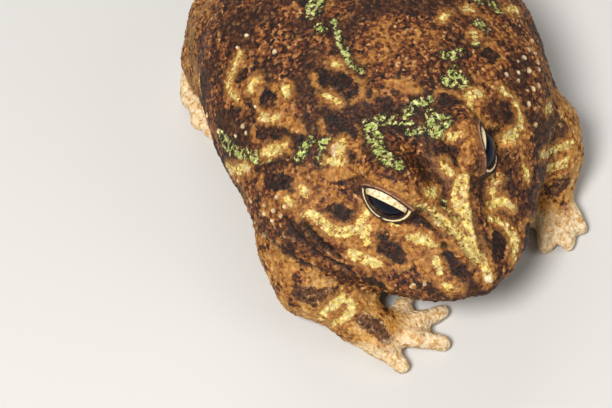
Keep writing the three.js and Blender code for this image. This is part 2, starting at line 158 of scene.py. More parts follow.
def ray_of(pixel):
    """The direction from the camera through a pixel of the photograph."""
    right, up, back = CAMERA_AXES
    x = (pixel[0] - PHOTO_SIZE[0] / 2) / FOCAL_PIXELS
    y = (pixel[1] - PHOTO_SIZE[1] / 2) / FOCAL_PIXELS
    return unit(right * x - up * y - back)


def make_camera():
    data = bpy.data.cameras.new("camera")
    data.sensor_width = SENSOR_WIDTH
    data.lens = FOCAL_PIXELS / PHOTO_SIZE[0] * SENSOR_WIDTH
    data.clip_start, data.clip_end = CLIP_METRES
    camera = bpy.data.objects.new("camera", data)
    bpy.context.scene.collection.objects.link(camera)
    matrix = np.eye(4)
    matrix[:3, :3] = np.array(CAMERA_AXES).T
    matrix[:3, 3] = (CAMERA_PLACE + ORIGIN) * MM
    camera.matrix_world = Matrix(matrix.tolist())
    bpy.context.scene.camera = camera


# Meshes as arrays
def points_of(mesh):
    """A mesh's vertices in millimetres from the head's foot."""
    flat = np.empty(len(mesh.vertices) * 3, np.float32)
    mesh.vertices.foreach_get("co", flat)
    return flat.reshape(-1, 3).astype(float) / MM - ORIGIN


def set_points(mesh, points):
    flat = ((points + ORIGIN) * MM).astype(np.float32).ravel()
    mesh.vertices.foreach_set("co", flat)
    mesh.update()


def normals_of(mesh):
    flat = np.empty(len(mesh.vertices) * 3, np.float32)
    mesh.vertex_normals.foreach_get("vector", flat)
    return flat.reshape(-1, 3).astype(float)


def edges_of(mesh):
    flat = np.empty(len(mesh.edges) * 2, np.int32)
    mesh.edges.foreach_get("vertices", flat)
    return flat.reshape(-1, 2)


def store(mesh, name, values):
    """Keeps a number at each vertex under a name that materials read."""
    attribute = mesh.attributes.new(name, "FLOAT", "POINT")
    attribute.data.foreach_set("value", np.asarray(values, np.float32))


SHRINK_STEP = 0.55
SWELL_STEP = -0.57


def smoothed(points, edges, passes, weight, keep_size=True):
    """Laplace smoothing, each pass followed by one that swells the shape back to its size."""
    first, second = edges.T
    count = np.bincount(edges.ravel(), minlength=len(points))[:, None].clip(1)
    weight = np.broadcast_to(weight, len(points))[:, None]
    steps = (SHRINK_STEP, SWELL_STEP) if keep_size else (SHRINK_STEP,)
    for _ in range(passes):
        for step in steps:
            total = np.column_stack(
                [
                    np.bincount(first, points[second, k], len(points))
                    + np.bincount(second, points[first, k], len(points))
                    for k in range(points.shape[1])
                ]
            )
            points = points + step * weight * (total / count - points)
    return points


def remesh(piece, voxel):
    bpy.context.view_layer.objects.active = piece
    modifier = piece.modifiers.new("remesh", "REMESH")
    modifier.mode = "VOXEL"
    modifier.voxel_size = voxel * MM
    graph = bpy.context.evaluated_depsgraph_get()
    mesh = bpy.data.meshes.new_from_object(piece.evaluated_get(graph))
    piece.modifiers.clear()
    piece.data = mesh


def drop_islands(mesh):
    """Keeps only the sheet of faces that the highest vertex is on."""
    points = points_of(mesh)
    edges = edges_of(mesh)
    label = np.arange(len(points))
    first, second = edges.T
    while True:
        lowest = np.minimum(label[first], label[second])
        before = label.copy()
        np.minimum.at(label, first, lowest)
        np.minimum.at(label, second, lowest)
        label = label[label]
        if (label == before).all():
            break
    kept = label[points[:, 2].argmax()]
    shape = bmesh.new()
    shape.from_mesh(mesh)
    loose = [v for v, mark in zip(shape.verts, label) if mark != kept]
    bmesh.ops.delete(shape, geom=loose, context="VERTS")
    shape.to_mesh(mesh)
    shape.free()


def subdivide_near(mesh, chosen):
    """Cuts each face whose corners are all chosen into four."""
    shape = bmesh.new()
    shape.from_mesh(mesh)
    faces = [face for face in shape.faces if all(chosen[v.index] for v in face.verts)]
    edges = list({edge for face in faces for edge in face.edges})
    bmesh.ops.subdivide_edges(shape, edges=edges, cuts=1, use_grid_fill=True)
    bmesh.ops.triangulate(shape, faces=[face for face in shape.faces if len(face.verts) > 4])
    shape.to_mesh(mesh)
    shape.free()


# The closed skin: a coarse mesh takes the facets and seams out, and a fine one carries the detail
SWELL = 0.35
SKIN_LIFT = 0.1
COARSE_VOXEL = 0.7
FINE_VOXEL = 0.34
SOCKET_RADIUS = 7.2
SMOOTHING_PASSES = 14
BODY_PASSES = 40
BODY_FROM_EYES = (30, 55)


def swollen_copy(node):
    mesh = frame["nodes"][node].data.copy()
    set_points(mesh, points_of(mesh) + SWELL * normals_of(mesh))
    return mesh


def ball(centre, radius):
    shape = bmesh.new()
    bmesh.ops.create_icosphere(shape, subdivisions=3, radius=radius * MM)
    bmesh.ops.translate(shape, vec=world(centre), verts=shape.verts)
    mesh = bpy.data.meshes.new("ball")
    shape.to_mesh(mesh)
    shape.free()
    return mesh


def closed_flesh():
    """The nodes of flesh as one closed skin, with the seams and facets gone."""
    shape = bmesh.new()
    for node in FLESH:
        shape.from_mesh(swollen_copy(node))
    for centre in EYE_CENTRE.values():
        shape.from_mesh(ball(centre, SOCKET_RADIUS))
    mesh = bpy.data.meshes.new("skin")
    shape.to_mesh(mesh)
    shape.free()
    skin = bpy.data.objects.new("skin", mesh)
    bpy.context.scene.collection.objects.link(skin)
    remesh(skin, COARSE_VOXEL)
    drop_islands(skin.data)
    points = points_of(skin.data)
    edges = edges_of(skin.data)
    from_eyes = np.linalg.norm(points - (BETWEEN_EYES - ORIGIN), axis=1)
    body = smooth_step(*BODY_FROM_EYES, from_eyes)
    points = smoothed(points, edges, SMOOTHING_PASSES, 1)
    points = smoothed(points, edges, BODY_PASSES, body)
    points -= (SWELL - SKIN_LIFT) * normals_of(skin.data)
    set_points(skin.data, points)
    remesh(skin, FINE_VOXEL)
    return skin


# Each eye looks outwards, with a little toe-in and lift
EYE_TOE_IN = math.radians(27)
EYE_LIFT = math.radians(18)

# The opening between an eye's lids, on the eyeball: its half length, the heights of its upper and
# lower edges above the line of sight, and how high its corners lie
OPENING_LENGTH = 5.3
UPPER_LID = {"right": 2.8, "left": 4.5}
LOWER_LID = {"right": -4.9, "left": -3.9}
CORNER_RISE = -0.5
UPPER_FLATNESS = 0.7
LOWER_FLATNESS = 0.5
OUTLINE_STEPS = 40

# The rounded rim of the lids stands up from the eyeball, and inside it the skin goes under the eye
LID_RIM = 0.95
RIM_WIDTH = 1.0
LID_CLEARANCE = 0.05
UNDER_EYE = 1.2
TURN_IN = 0.35
RIM_BLEND = (0.6 * RIM_WIDTH, 2.2 * RIM_WIDTH)
RIM_REACH = 3 * RIM_WIDTH
EYE_REACH = 5
NOT_NEAR = 9.0
FINER_NEAR_LIDS = (2.6, 1.1)
FINER_HEIGHT = 3


def eye_axes(side):
    """Where an eye looks, then the line along its opening and the way up across it."""
    toe = SIDES[side] * math.cos(EYE_TOE_IN)
    out = HEAD_AHEAD * math.sin(EYE_TOE_IN) + HEAD_LEFT * toe
    out = unit(out * math.cos(EYE_LIFT) + UP * math.sin(EYE_LIFT))
    along = unit(np.cross(UP, out))
    return out, along, np.cross(out, along)


def on_eye(points, side):
    """Distance from an eye's centre, and the place on the eyeball: along, up and ahead."""
    out, along, up = eye_axes(side)
    away = points - EYE_CENTRE[side]
    distance = np.linalg.norm(away, axis=1)
    flat = away / distance[:, None] * EYE_RADIUS
    return distance, flat @ along, flat @ up, flat @ out


def opening_outline(side):
    """The upper and the lower edge of the opening as heights above its corners, over its length."""
    x = OPENING_LENGTH * np.cos(np.linspace(0, np.pi, OUTLINE_STEPS))
    across = np.clip(1 - (x / OPENING_LENGTH) ** 2, 0, 1)
    upper = CORNER_RISE + (UPPER_LID[side] - CORNER_RISE) * across**UPPER_FLATNESS
    lower = CORNER_RISE + (LOWER_LID[side] - CORNER_RISE) * across**LOWER_FLATNESS
    return x, upper, lower


def opening_edge(points, side):
    """Distance from an eye's centre, and how far outside the opening between the lids a point lies."""
    distance, x, y, front = on_eye(points, side)
    edge = np.full(len(points), NOT_NEAR)
    close = (distance < EYE_RADIUS + EYE_REACH) & (np.abs(x) < NOT_NEAR)
    near = np.flatnonzero(close & (front > 0))
    place = np.column_stack([x[near], y[near]])
    length, upper, lower = opening_outline(side)
    top = np.column_stack([length, upper])
    bottom = np.column_stack([length, lower])[::-1]
    ring = np.vstack([top, bottom[1:]])
    gap = np.full(len(near), NOT_NEAR)
    for a, b in zip(ring, ring[1:]):
        gap = np.minimum(gap, np.linalg.norm(nearest_on(place, a, b) - place, axis=1))
    order = np.argsort(length)
    under_top = place[:, 1] < np.interp(place[:, 0], length[order], upper[order])
    over_bottom = place[:, 1] > np.interp(place[:, 0], length[order], lower[order])
    inside = under_top & over_bottom & (np.abs(place[:, 0]) < OPENING_LENGTH)
    edge[near] = np.where(inside, -gap, gap)
    return distance, edge


def share_along(points, a, b):
    """How far along the line from a to b the nearest place to each point is, from 0 to 1."""
    span = b - a
    return np.clip((points - a) @ span / max(span @ span, 1e-9), 0, 1)


def nearest_on(points, a, b):
    return a + share_along(points, a, b)[:, None] * (b - a)


def form_lids(points, side):
    """Pushes the skin under the eyeball inside the opening, and rounds the rims of the lids."""
    distance, edge = opening_edge(points, side)
    fall = 1 - np.clip(edge / RIM_WIDTH, 0, 1)
    rim = EYE_RADIUS + LID_CLEARANCE + LID_RIM * np.sqrt(1 - fall**2)
    outside = rim + (distance - rim) * smooth_step(*RIM_BLEND, edge)
    inside = rim + (EYE_RADIUS - UNDER_EYE - rim) * smooth_step(0, TURN_IN, -edge)
    radius = np.where(edge > 0, outside, inside)
    moved = (edge < RIM_REACH) & (distance < EYE_RADIUS + EYE_REACH)
    away = (points - EYE_CENTRE[side]) / distance[:, None]
    return points + away * (moved * (radius - distance))[:, None]


def cut_lids(mesh):
    """Gives the skin its lids, with smaller faces near their edges."""
    for side in SIDES:
        for reach in FINER_NEAR_LIDS:
            distance, edge = opening_edge(points_of(mesh), side)
            near = (np.abs(edge) < reach) & (distance < EYE_RADIUS + FINER_HEIGHT)
            subdivide_near(mesh, near)
        set_points(mesh, form_lids(points_of(mesh), side))


# Noise over the skin, the same at each run
HASH_AXES = np.array([127.1, 311.7, 74.7])
HASH_STEP = 53.3
HASH_SCALE = 43758.5453
SPOT_MARGIN = 0.15
JITTER = 1 - 2 * SPOT_MARGIN


def random_at(cells, seed):
    wave = np.sin(cells @ HASH_AXES + seed * HASH_STEP) * HASH_SCALE
    return wave - np.floor(wave)


def lumps(points, size, seed):
    """Smooth noise from -1 to 1 with lumps of a size in millimetres."""
    base = np.floor(points / size)
    part = points / size - base
    part = part * part * (3 - 2 * part)
    total = np.zeros(len(points))
    for corner in itertools.product((0, 1), repeat=3):
        weight = np.prod(np.where(corner, part, 1 - part), axis=1)
        total += weight * random_at(base + corner, seed)
    return 2 * total - 1


def scattered(points, size, seed):
    """Spots strewn a size apart: the distance to the nearest in millimetres, and its random number."""
    base = np.floor(points / size)
    nearest = np.full(len(points), NOT_NEAR)
    chosen = np.zeros(len(points))
    for step in itertools.product((-1, 0, 1), repeat=3):
        cell = base + step
        jitter = np.column_stack([random_at(cell, seed + k) for k in range(3)])
        offset = points / size - cell - SPOT_MARGIN - JITTER * jitter
        distance = np.linalg.norm(offset, axis=1)
        closer = distance < nearest
        nearest = np.where(closer, distance, nearest)
        chosen = np.where(closer, jitter[:, 0], chosen)
    return nearest * size, chosen


# What the photograph shows, as chains of (pixel x, pixel y, half width in pixels)
LIME = [
    [(366, 123, 4), (385, 120, 4), (400, 120, 4), (409, 122, 3)],
    [(372, 130, 7), (375, 143, 7), (383, 154, 6), (395, 163, 6), (399, 166, 4)],
    [(405, 117, 3), (412, 109, 4), (421, 104, 4), (427, 100, 3)],
    [(430, 112, 4), (433, 122, 5), (434, 132, 5), (441, 138, 3)],
    [(440, 118, 4), (449, 121, 4), (445, 127, 3)],
    [(410, 133, 2), (422, 131, 2)],
    [(457, 70, 4), (449, 81, 6), (461, 80, 7), (466, 87, 4)],
    [(443, 54, 2), (450, 57, 4), (460, 51, 3)],
    [(480, 24, 4), (485, 29, 4)],
    [(476, 43, 3), (475, 37, 3)],
    [(494, 7, 5), (502, 10, 3)],
    [(316, 5, 8), (313, 15, 5)],
    [(318, 28, 4), (323, 29, 4)],
    [(333, 22, 2), (347, 59, 2), (353, 66, 1.5), (361, 73, 2.5)],
    [(322, 144, 4), (328, 142, 3)],
    [(322, 159, 4), (327, 160, 3)],
    [(305, 146, 3), (311, 140, 3), (299, 157, 3)],
    [(220, 135, 4), (226, 144, 7), (240, 155, 5), (256, 157, 5), (268, 156, 6), (279, 152, 5)],
    [(445, 205, 4), (449, 210, 3)],
    [(453, 217, 4), (460, 224, 4), (464, 231, 3)],
    [(468, 236, 4), (472, 241, 3)],
]
YELLOW = [
    [(406, 206, 1.5), (419, 206, 2.5), (430, 211, 3.5), (440, 219, 4), (450, 227, 4), (459, 234, 4)],
    [(459, 234, 4), (466, 243, 5), (473, 253, 5), (478, 262, 3)],
    [(464, 177, 4), (459, 190, 7), (459, 200, 7), (462, 210, 5), (468, 218, 3.5), (470, 226, 2.5)],
    [(465, 222, 3), (471, 233, 4), (474, 241, 3)],
    [(482, 254, 1.5), (485, 266, 3), (488, 277, 4)],
    [(491, 218, 2), (500, 222, 2), (508, 228, 3), (514, 238, 4), (515, 250, 3), (513, 260, 2)],
    [(494, 167, 2.5), (496, 179, 2.5)],
    [(492, 189, 3), (494, 196, 2.5)],
    [(491, 204, 3), (503, 202, 3.5), (512, 207, 2)],
    [(498, 144, 4), (505, 144, 6), (513, 135, 5), (519, 128, 4), (521, 120, 2.5)],
    [(521, 120, 2.5), (518, 110, 2), (514, 102, 2), (507, 95, 2), (500, 89, 2)],
    [(525, 168, 2.5), (527, 178, 2.5)],
    [(392, 223, 2.5), (399, 231, 3.5), (410, 237, 3.5), (420, 238, 3.5), (430, 243, 3), (438, 246, 2.5)],
    [(303, 214, 2), (312, 213, 3.5), (321, 221, 4), (332, 231, 4), (345, 233, 4), (358, 228, 5)],
    [(358, 228, 5), (365, 218, 4), (368, 211, 2)],
    [(371, 222, 4), (365, 232, 4), (368, 243, 2.5)],
    [(352, 254, 3), (362, 259, 4), (373, 262, 3.5), (383, 265, 2)],
    [(436, 260, 2.5), (439, 273, 3)],
    [(443, 284, 1.5), (450, 287, 2), (458, 290, 1.5)],
    [(426, 191, 3), (433, 194, 4), (434, 189, 2)],
    [(414, 205, 2), (423, 205, 3)],
    [(451, 136, 3), (458, 134, 3)],
    [(444, 165, 3), (450, 173, 3)],
    [(256, 80, 2.5), (250, 86, 2), (252, 92, 1.5)],
    [(285, 88, 3), (287, 95, 3)],
    [(262, 116, 3.5), (272, 118, 3), (279, 116, 2)],
    [(266, 152, 4), (276, 149, 3.5), (285, 146, 3)],
    [(240, 55, 2), (233, 70, 2), (228, 82, 2), (230, 92, 2), (237, 98, 2)],
    [(213, 152, 4), (219, 162, 2.5), (232, 171, 4), (248, 168, 3.5)],
    [(288, 200, 2.5), (292, 204, 2.5)],
    [(302, 188, 2.5), (306, 193, 3)],
    [(325, 97, 2), (333, 99, 2), (338, 103, 1.5)],
    [(474, 35, 4)],
    [(471, 10, 3), (466, 8, 3)],
    [(515, 9, 4), (508, 10, 3)],
    [(443, 20, 2), (448, 13, 2)],
    [(470, 95, 5), (481, 94, 3)],
    [(472, 106, 3), (478, 107, 2)],
    [(335, 63, 2.5), (340, 66, 1.5)],
    [(343, 142, 3), (337, 152, 6), (341, 162, 3), (330, 160, 3)],
    [(320, 319, 2.5), (330, 306, 3), (344, 298, 3.5), (354, 305, 3), (346, 318, 2.5), (332, 325, 2.5)],
    [(543, 155, 2.5), (558, 149, 3.5), (573, 143, 3)],
    [(545, 169, 2.5), (560, 166, 3), (568, 160, 2.5)],
    [(547, 110, 4), (552, 106, 3)],
]
CREAM = [
    [(334, 147, 3), (334, 155, 3)],
    [(413, 286, 3.5)],
    [(425, 284, 2)],
    [(488, 279, 4)],
    [(208, 115, 3)], [(206, 126, 3)], [(207, 134, 3)], [(214, 154, 4)], [(219, 131, 3)],
    [(231, 171, 4)], [(248, 169, 3)], [(243, 126, 3)], [(239, 181, 2.5)], [(237, 193, 2.5)],
    [(252, 201, 2.5)], [(250, 213, 2)], [(265, 205, 2.5)], [(265, 213, 3)], [(277, 197, 2.5)],
    [(274, 211, 2.5)], [(273, 220, 2.5)], [(281, 216, 2.5)], [(285, 207, 2.5)], [(265, 234, 3)],
    [(246, 133, 2)], [(236, 136, 2)], [(256, 107, 2)], [(275, 52, 3)], [(238, 48, 2)],
    [(247, 36, 2)], [(256, 222, 2)], [(532, 41, 2.5)], [(528, 50, 3)], [(534, 53, 2.5)],
    [(524, 58, 3)], [(517, 62, 2)], [(537, 63, 3)], [(538, 70, 2.5)], [(528, 71, 3.5)],
    [(518, 73, 2.5)], [(506, 75, 3)], [(518, 81, 2)], [(538, 86, 3)], [(533, 89, 3.5)],
    [(527, 91, 2)], [(528, 104, 3)], [(535, 108, 2)], [(535, 125, 3)],
]
DARK = [
    [(335, 212, 9), (347, 216, 9)],
    # This chain is painted shadow: the dark line under the ridge that runs from the eye to the snout
    [(408, 213, 3), (420, 218, 6), (437, 226, 5), (450, 235, 4)],
    [(378, 235, 7), (385, 247, 10), (398, 256, 9)],
    [(447, 258, 8), (455, 268, 8), (470, 272, 5)],
    [(500, 235, 9), (497, 250, 10)],
    [(482, 178, 5), (484, 192, 4), (481, 203, 4)],
    [(440, 148, 9), (452, 152, 8)],
    [(268, 97, 10)],
    [(265, 130, 12), (285, 138, 10), (297, 141, 8)],
    [(335, 122, 12), (350, 135, 10)],
    [(508, 112, 8), (512, 122, 6)],
    [(410, 130, 8), (395, 130, 6)],
    [(345, 152, 6), (352, 158, 6)],
    [(330, 75, 14), (350, 90, 10)],
    [(385, 105, 10)],
    [(445, 100, 8), (455, 100, 6)],
    [(490, 55, 10)],
    [(240, 75, 9)],
    [(270, 180, 9), (290, 185, 8)],
    [(235, 112, 8)],
]
OCHRE_MARKS = [
    [(368, 178, 4), (382, 181, 6), (396, 188, 6), (412, 197, 5), (424, 199, 4)],
    [(462, 121, 4), (470, 130, 8), (471, 143, 8), (470, 154, 8), (464, 164, 6)],
    [(418, 252, 5), (422, 266, 7), (430, 276, 4)],
    [(485, 212, 5), (492, 212, 5)],
    [(500, 142, 8), (515, 140, 8), (528, 130, 6)],
    [(390, 85, 5), (408, 84, 5)],
    [(330, 175, 6), (350, 172, 6), (366, 168, 5)],
    [(290, 120, 8), (300, 128, 6)],
    [(360, 225, 7), (368, 240, 5)],
    [(355, 255, 6), (368, 252, 6)],
    [(404, 91, 4), (420, 90, 4)],
    [(276, 256, 7), (281, 272, 7), (290, 281, 4)],
    [(548, 84, 7), (556, 96, 6)],
    [(556, 160, 5), (566, 155, 4)],
    [(262, 84, 3), (256, 92, 3), (255, 102, 3), (262, 112, 3), (276, 112, 3), (284, 104, 3)],
    [(325, 225, 4), (345, 240, 4), (362, 244, 4)],
]
BROWN = [
    [(300, 293, 8), (317, 298, 11), (334, 291, 6)],
    [(362, 318, 8), (376, 328, 9), (388, 340, 5)],
    [(556, 116, 9), (561, 130, 10), (550, 138, 6)],
    [(562, 182, 9), (555, 192, 6)],
    [(410, 352, 2), (372, 352, 3)],
    [(282, 233, 5), (292, 240, 4)],
]

# Creases of the skin, and the ridges of the snout with the grooves beside them, the same way
CREASES = [
    [(287, 222, 1), (297, 236, 1), (309, 247, 1), (322, 257, 1), (336, 265, 1), (348, 271, 1)],
    [(303, 222, 0.5), (312, 234, 0.5), (324, 246, 0.5), (338, 257, 0.5)],
]
RIDGE_GROOVES = [
    [(404, 210, 1), (418, 210, 1), (430, 214, 1), (440, 222, 1), (450, 233, 1), (460, 242, 1)],
    [(460, 242, 1), (469, 256, 1), (477, 269, 0.5)],
    [(473, 172, 1), (472, 190, 1), (473, 208, 1), (475, 222, 1), (478, 238, 1), (484, 254, 0.5)],
]
RIDGE_CRESTS = [
    [(408, 204, 1), (420, 203, 1), (431, 208, 1), (442, 216, 1), (452, 226, 1), (463, 238, 1)],
    [(463, 238, 1), (471, 252, 1), (479, 265, 0.5)],
    [(467, 176, 1), (466, 192, 1), (468, 208, 1), (470, 222, 1), (474, 238, 1), (480, 254, 0.5)],
]
EARDRUM = (343, 214)

MARK_CHAINS = {
    "lime": LIME,
    "yellow": YELLOW,
    "cream": CREAM,
    "dark": DARK,
    "ochre": OCHRE_MARKS,
    "brown": BROWN,
}
MARKS = list(MARK_CHAINS)

# A chain is traced in steps of some pixels, and a link longer than this on the skin is a jump
TRACE_STEP = 6
LONGEST_LINK = 6
FAR = 3.0


def seen_at(tree, pixel):
    """The place on the skin that a pixel of the photograph shows, or nothing."""
    hit = tree.ray_cast(world(CAMERA_PLACE), Vector(ray_of(pixel)))[0]
    return None if hit is None else local(hit)


def traced(tree, chain):
    """A chain of (pixel x, pixel y, half width in pixels) as points on the skin with a radius."""
    found = []
    for (x0, y0, w0), (x1, y1, w1) in zip(chain, chain[1:] + chain[-1:]):
        steps = max(1, round(math.hypot(x1 - x0, y1 - y0) / TRACE_STEP))
        for k in range(steps):
            t = k / steps
            half = w0 + t * (w1 - w0)
            place = seen_at(tree, (x0 + t * (x1 - x0), y0 + t * (y1 - y0)))
            if place is None:
                found.append(None)
                continue
            depth = np.linalg.norm(place - CAMERA_PLACE)
            found.append((place, half * depth / FOCAL_PIXELS))
    return found


def chain_distance(points, chain):
    """How far each point lies outside a chain of places with radii, up to FAR."""
    result = np.full(len(points), FAR)
    if len(chain) == 1:
        chain = chain * 2
    for first, second in zip(chain, chain[1:]):
        if first is None or second is None:
            continue
        (a, ra), (b, rb) = first, second
        if np.linalg.norm(b - a) > LONGEST_LINK:
            continue
        reach = FAR + max(ra, rb)
        low = np.minimum(a, b) - reach
        high = np.maximum(a, b) + reach
        near = np.flatnonzero(((points > low) & (points < high)).all(axis=1))
        t = share_along(points[near], a, b)
        distance = np.linalg.norm(points[near] - a - t[:, None] * (b - a), axis=1)
        result[near] = np.minimum(result[near], distance - ra - t * (rb - ra))
    return result


def nearest_of(points, chains):
    distance = np.full(len(points), FAR)
    for chain in chains:
        distance = np.minimum(distance, chain_distance(points, chain))
    return distance


def traced_distance(points, tree, chains):
    """How far each point lies from the lines of some traced chains."""
    return np.maximum(nearest_of(points, [traced(tree, chain) for chain in chains]), 0)


# Marks strewn where the photograph doesn't show the animal: the kind, how many, the least and the
# greatest radius, and how many links each has
MARK_SEED = 5
STREWN = [
    ("dark", 30, 1.6, 3.4, 2),
    ("yellow", 16, 0.5, 0.9, 2),
    ("lime", 12, 0.8, 1.6, 2),
    ("cream", 60, 0.35, 0.6, 0),
    ("ochre", 10, 1, 2, 1),
]
STREWN_LINK = (1.5, 3.5)
LOWEST_MARK = 7
GRAZING = 0.12


def unseen(points, normals):
    """Whether each point faces away from the camera or lies outside the photograph."""
    away = points - CAMERA_PLACE
    depth = np.linalg.norm(away, axis=1)
    right, up, back = CAMERA_AXES
    pixel_y = PHOTO_SIZE[1] / 2 + FOCAL_PIXELS * (away @ up) / (away @ back)
    facing = -(normals * away).sum(axis=1) / depth
    return (facing < GRAZING) | (pixel_y < 0)


def strewn_marks(points, normals, shares):
    """Blotches and streaks of the same kinds where the photograph doesn't show the animal."""
    rng = np.random.default_rng(MARK_SEED)
    body = shares["torso"] + shares["head"] + shares["hind_leg"] > 0.5
    spots = np.flatnonzero(unseen(points, normals) & body & (points[:, 2] > LOWEST_MARK))
    strewn = {name: [] for name in MARKS}
    for kind, count, low, high, links in STREWN:
        for start in rng.choice(spots, count):
            chain = [(points[start], rng.uniform(low, high))]
            for _ in range(links):
                heading = np.cross(normals[start], rng.normal(size=3))
                target = chain[-1][0] + unit(heading) * rng.uniform(*STREWN_LINK)
                start = spots[np.linalg.norm(points[spots] - target, axis=1).argmin()]
                chain.append((points[start], rng.uniform(low, high)))
            strewn[kind].append(chain)
    return strewn


SHARE_PASSES = 12


def node_shares(points, edges):
    """For each kind of limb, how much each vertex belongs to it, softly across its edge."""
    nodes = {name: name.replace("_left", "").replace("_right", "") for name in FLESH}
    tree = KDTree(sum(len(frame["nodes"][name].data.vertices) for name in FLESH))
    owner = []
    for name, kind in nodes.items():
        for vertex in frame["nodes"][name].data.vertices:
            tree.insert(vertex.co, len(owner))
            owner.append(kind)
    tree.balance()
    nearest = np.array([owner[tree.find(world(point))[1]] for point in points])
    kinds = sorted(set(nodes.values()))
    shares = np.column_stack([nearest == kind for kind in kinds]).astype(float)
    shares = smoothed(shares, edges, SHARE_PASSES, 1, keep_size=False)
    return dict(zip(kinds, shares.T))


# The face: the line of the mouth in the head's own frame, as (forward, rise above MOUTH_HEIGHT)
MOUTH_HEIGHT = 19.9
MOUTH_LINE = [(-40, -1), (-24, 0.6), (-16, 1.6), (-6, 0.2), (6, -0.9), (18, -0.6), (30, 0.2)]
MOUTH_CORNER = -25
MOUTH_FADE = 3
FACE_SHARE = (0.3, 0.8)
SLIT = {"width": 0.42, "depth": 0.75}
UPPER_LIP = {"above": 1.5, "width": 1.0, "height": 0.32}
NOSTRIL = {"ahead": 13, "aside": 5.9, "radius": 0.85, "depth": 1.2}
NOSTRIL_WALL = (1.3 * NOSTRIL["radius"], 0.6 * NOSTRIL["radius"])
NOSTRIL_RIM = {"radius": 1.6 * NOSTRIL["radius"], "width": 0.5, "height": 0.22}
CREST = {"width": 0.8, "height": 0.35}
GROOVE = {"width": 0.6, "depth": 0.4, "shade": 0.5, "shade_width": 0.45}
FOLD = {"width": 0.6, "depth": 0.8, "shade": 0.9}
EARDRUM_RIM = {"radius": 3.4, "width": 0.5, "depth": 0.22}
OVER_HEAD = 60


def mouth_height(points):
    """How far each point lies above the line of the mouth, and how far forward it is."""
    ahead = points @ HEAD_AHEAD
    place = np.array(MOUTH_LINE)
    rise = np.interp(ahead, place[:, 0], place[:, 1])
    return points[:, 2] - MOUTH_HEIGHT - rise, ahead


def mouth(points, shares):
    """The relief of the lip and the slit of the mouth, and the painted shade in the slit."""
    height, ahead = mouth_height(points)
    face = smooth_step(*FACE_SHARE, shares["head"] + shares["lower_jaw"])
    face = face * smooth_step(MOUTH_CORNER - MOUTH_FADE, MOUTH_CORNER + MOUTH_FADE, ahead)
    slit = bell(height, SLIT["width"]) * face
    lip = bell(height - UPPER_LIP["above"], UPPER_LIP["width"]) * face
    return UPPER_LIP["height"] * lip - SLIT["depth"] * slit, slit


def nostril(points, tree, side):
    """The relief of a nostril's pit with its rim, and the painted shade in the pit."""
    above = HEAD_AHEAD * NOSTRIL["ahead"] + HEAD_LEFT * side * NOSTRIL["aside"] + UP * OVER_HEAD
    centre = local(tree.ray_cast(world(above), Vector((0, 0, -1)))[0])
    distance = np.linalg.norm(points - centre, axis=1)
    pit = smooth_step(*NOSTRIL_WALL, distance)
    rim = bell(distance - NOSTRIL_RIM["radius"], NOSTRIL_RIM["width"])
    return NOSTRIL_RIM["height"] * rim - NOSTRIL["depth"] * pit, pit


def face_relief(points, shares, tree):
    """How far the face's details stand out or sink in, and how dark the painted shade in its slit,
    nostril pits, creases and grooves is.
    """
    relief, shade = mouth(points, shares)
    for side in SIDES.values():
        height, pit = nostril(points, tree, side)
        relief += height
        shade = np.maximum(shade, pit)
    crests = traced_distance(points, tree, RIDGE_CRESTS)
    grooves = traced_distance(points, tree, RIDGE_GROOVES)
    relief += CREST["height"] * bell(crests, CREST["width"])
    relief -= GROOVE["depth"] * bell(grooves, GROOVE["width"])
    fold = bell(traced_distance(points, tree, CREASES), FOLD["width"])
    relief -= FOLD["depth"] * fold
    shade = np.maximum(shade, FOLD["shade"] * fold)
    shade = np.maximum(shade, GROOVE["shade"] * bell(grooves, GROOVE["shade_width"]))
    from_ear = np.linalg.norm(points - seen_at(tree, EARDRUM), axis=1)
    rim = bell(from_ear - EARDRUM_RIM["radius"], EARDRUM_RIM["width"])
    return relief - EARDRUM_RIM["depth"] * rim, shade


# The skin's relief: granules everywhere, warts here and there, lumps on the body, and tubercles
GRANULE = {"apart": 1.25, "seed": 1, "foot": 0.85, "top": 0.1, "height": 0.3}
WART = {"apart": 4.2, "seed": 9, "foot": 1.3, "top": 0.3, "height": 0.4, "kept": 0.55}
LUMPS = [{"size": 4, "seed": 2, "height": 0.22}, {"size": 11, "seed": 3, "height": 0.3}]
TUBERCLE = {"foot": 0.3, "top": -0.4, "height": 0.5}
SMOOTHER_HANDS = 0.6
HANDS_LESS_HOLLOW_SHADE = 0.5
LID_CALM = (0.7, 1.7)
WRINKLE = {"apart": 0.85, "height": 0.1, "sway": 2, "size": 2.5, "seed": 4}
WRINKLE_START = (1, 1.6)
WRINKLE_END = (6, 4)
LID_LINE_BLEND = 0.3
FACE_NEAR_LIDS = (0.5, 1.5)


def skin_relief(points, hands, calm, cream):
    """The height of the skin's relief, and how high on a granule each point is, which sets the painted
    shade in the hollows between granules.
    """
    grain, _ = scattered(points, GRANULE["apart"], GRANULE["seed"])
    warts, pick = scattered(points, WART["apart"], WART["seed"])
    wart = smooth_step(WART["foot"], WART["top"], warts) * (pick > WART["kept"])
    height = smooth_step(GRANULE["foot"], GRANULE["top"], grain)
    relief = GRANULE["height"] * height * (1 - SMOOTHER_HANDS * hands)
    relief += WART["height"] * wart * (1 - hands)
    for lump in LUMPS:
        relief += lump["height"] * lumps(points, lump["size"], lump["seed"]) * (1 - hands)
    tubercle = smooth_step(TUBERCLE["foot"], TUBERCLE["top"], cream)
    # Less painted shade in the hollows between granules near the lids and on the hands
    on_granule = 1 - calm * (1 - height) * (1 - HANDS_LESS_HOLLOW_SHADE * hands)
    return calm * relief + TUBERCLE["height"] * tubercle, on_granule


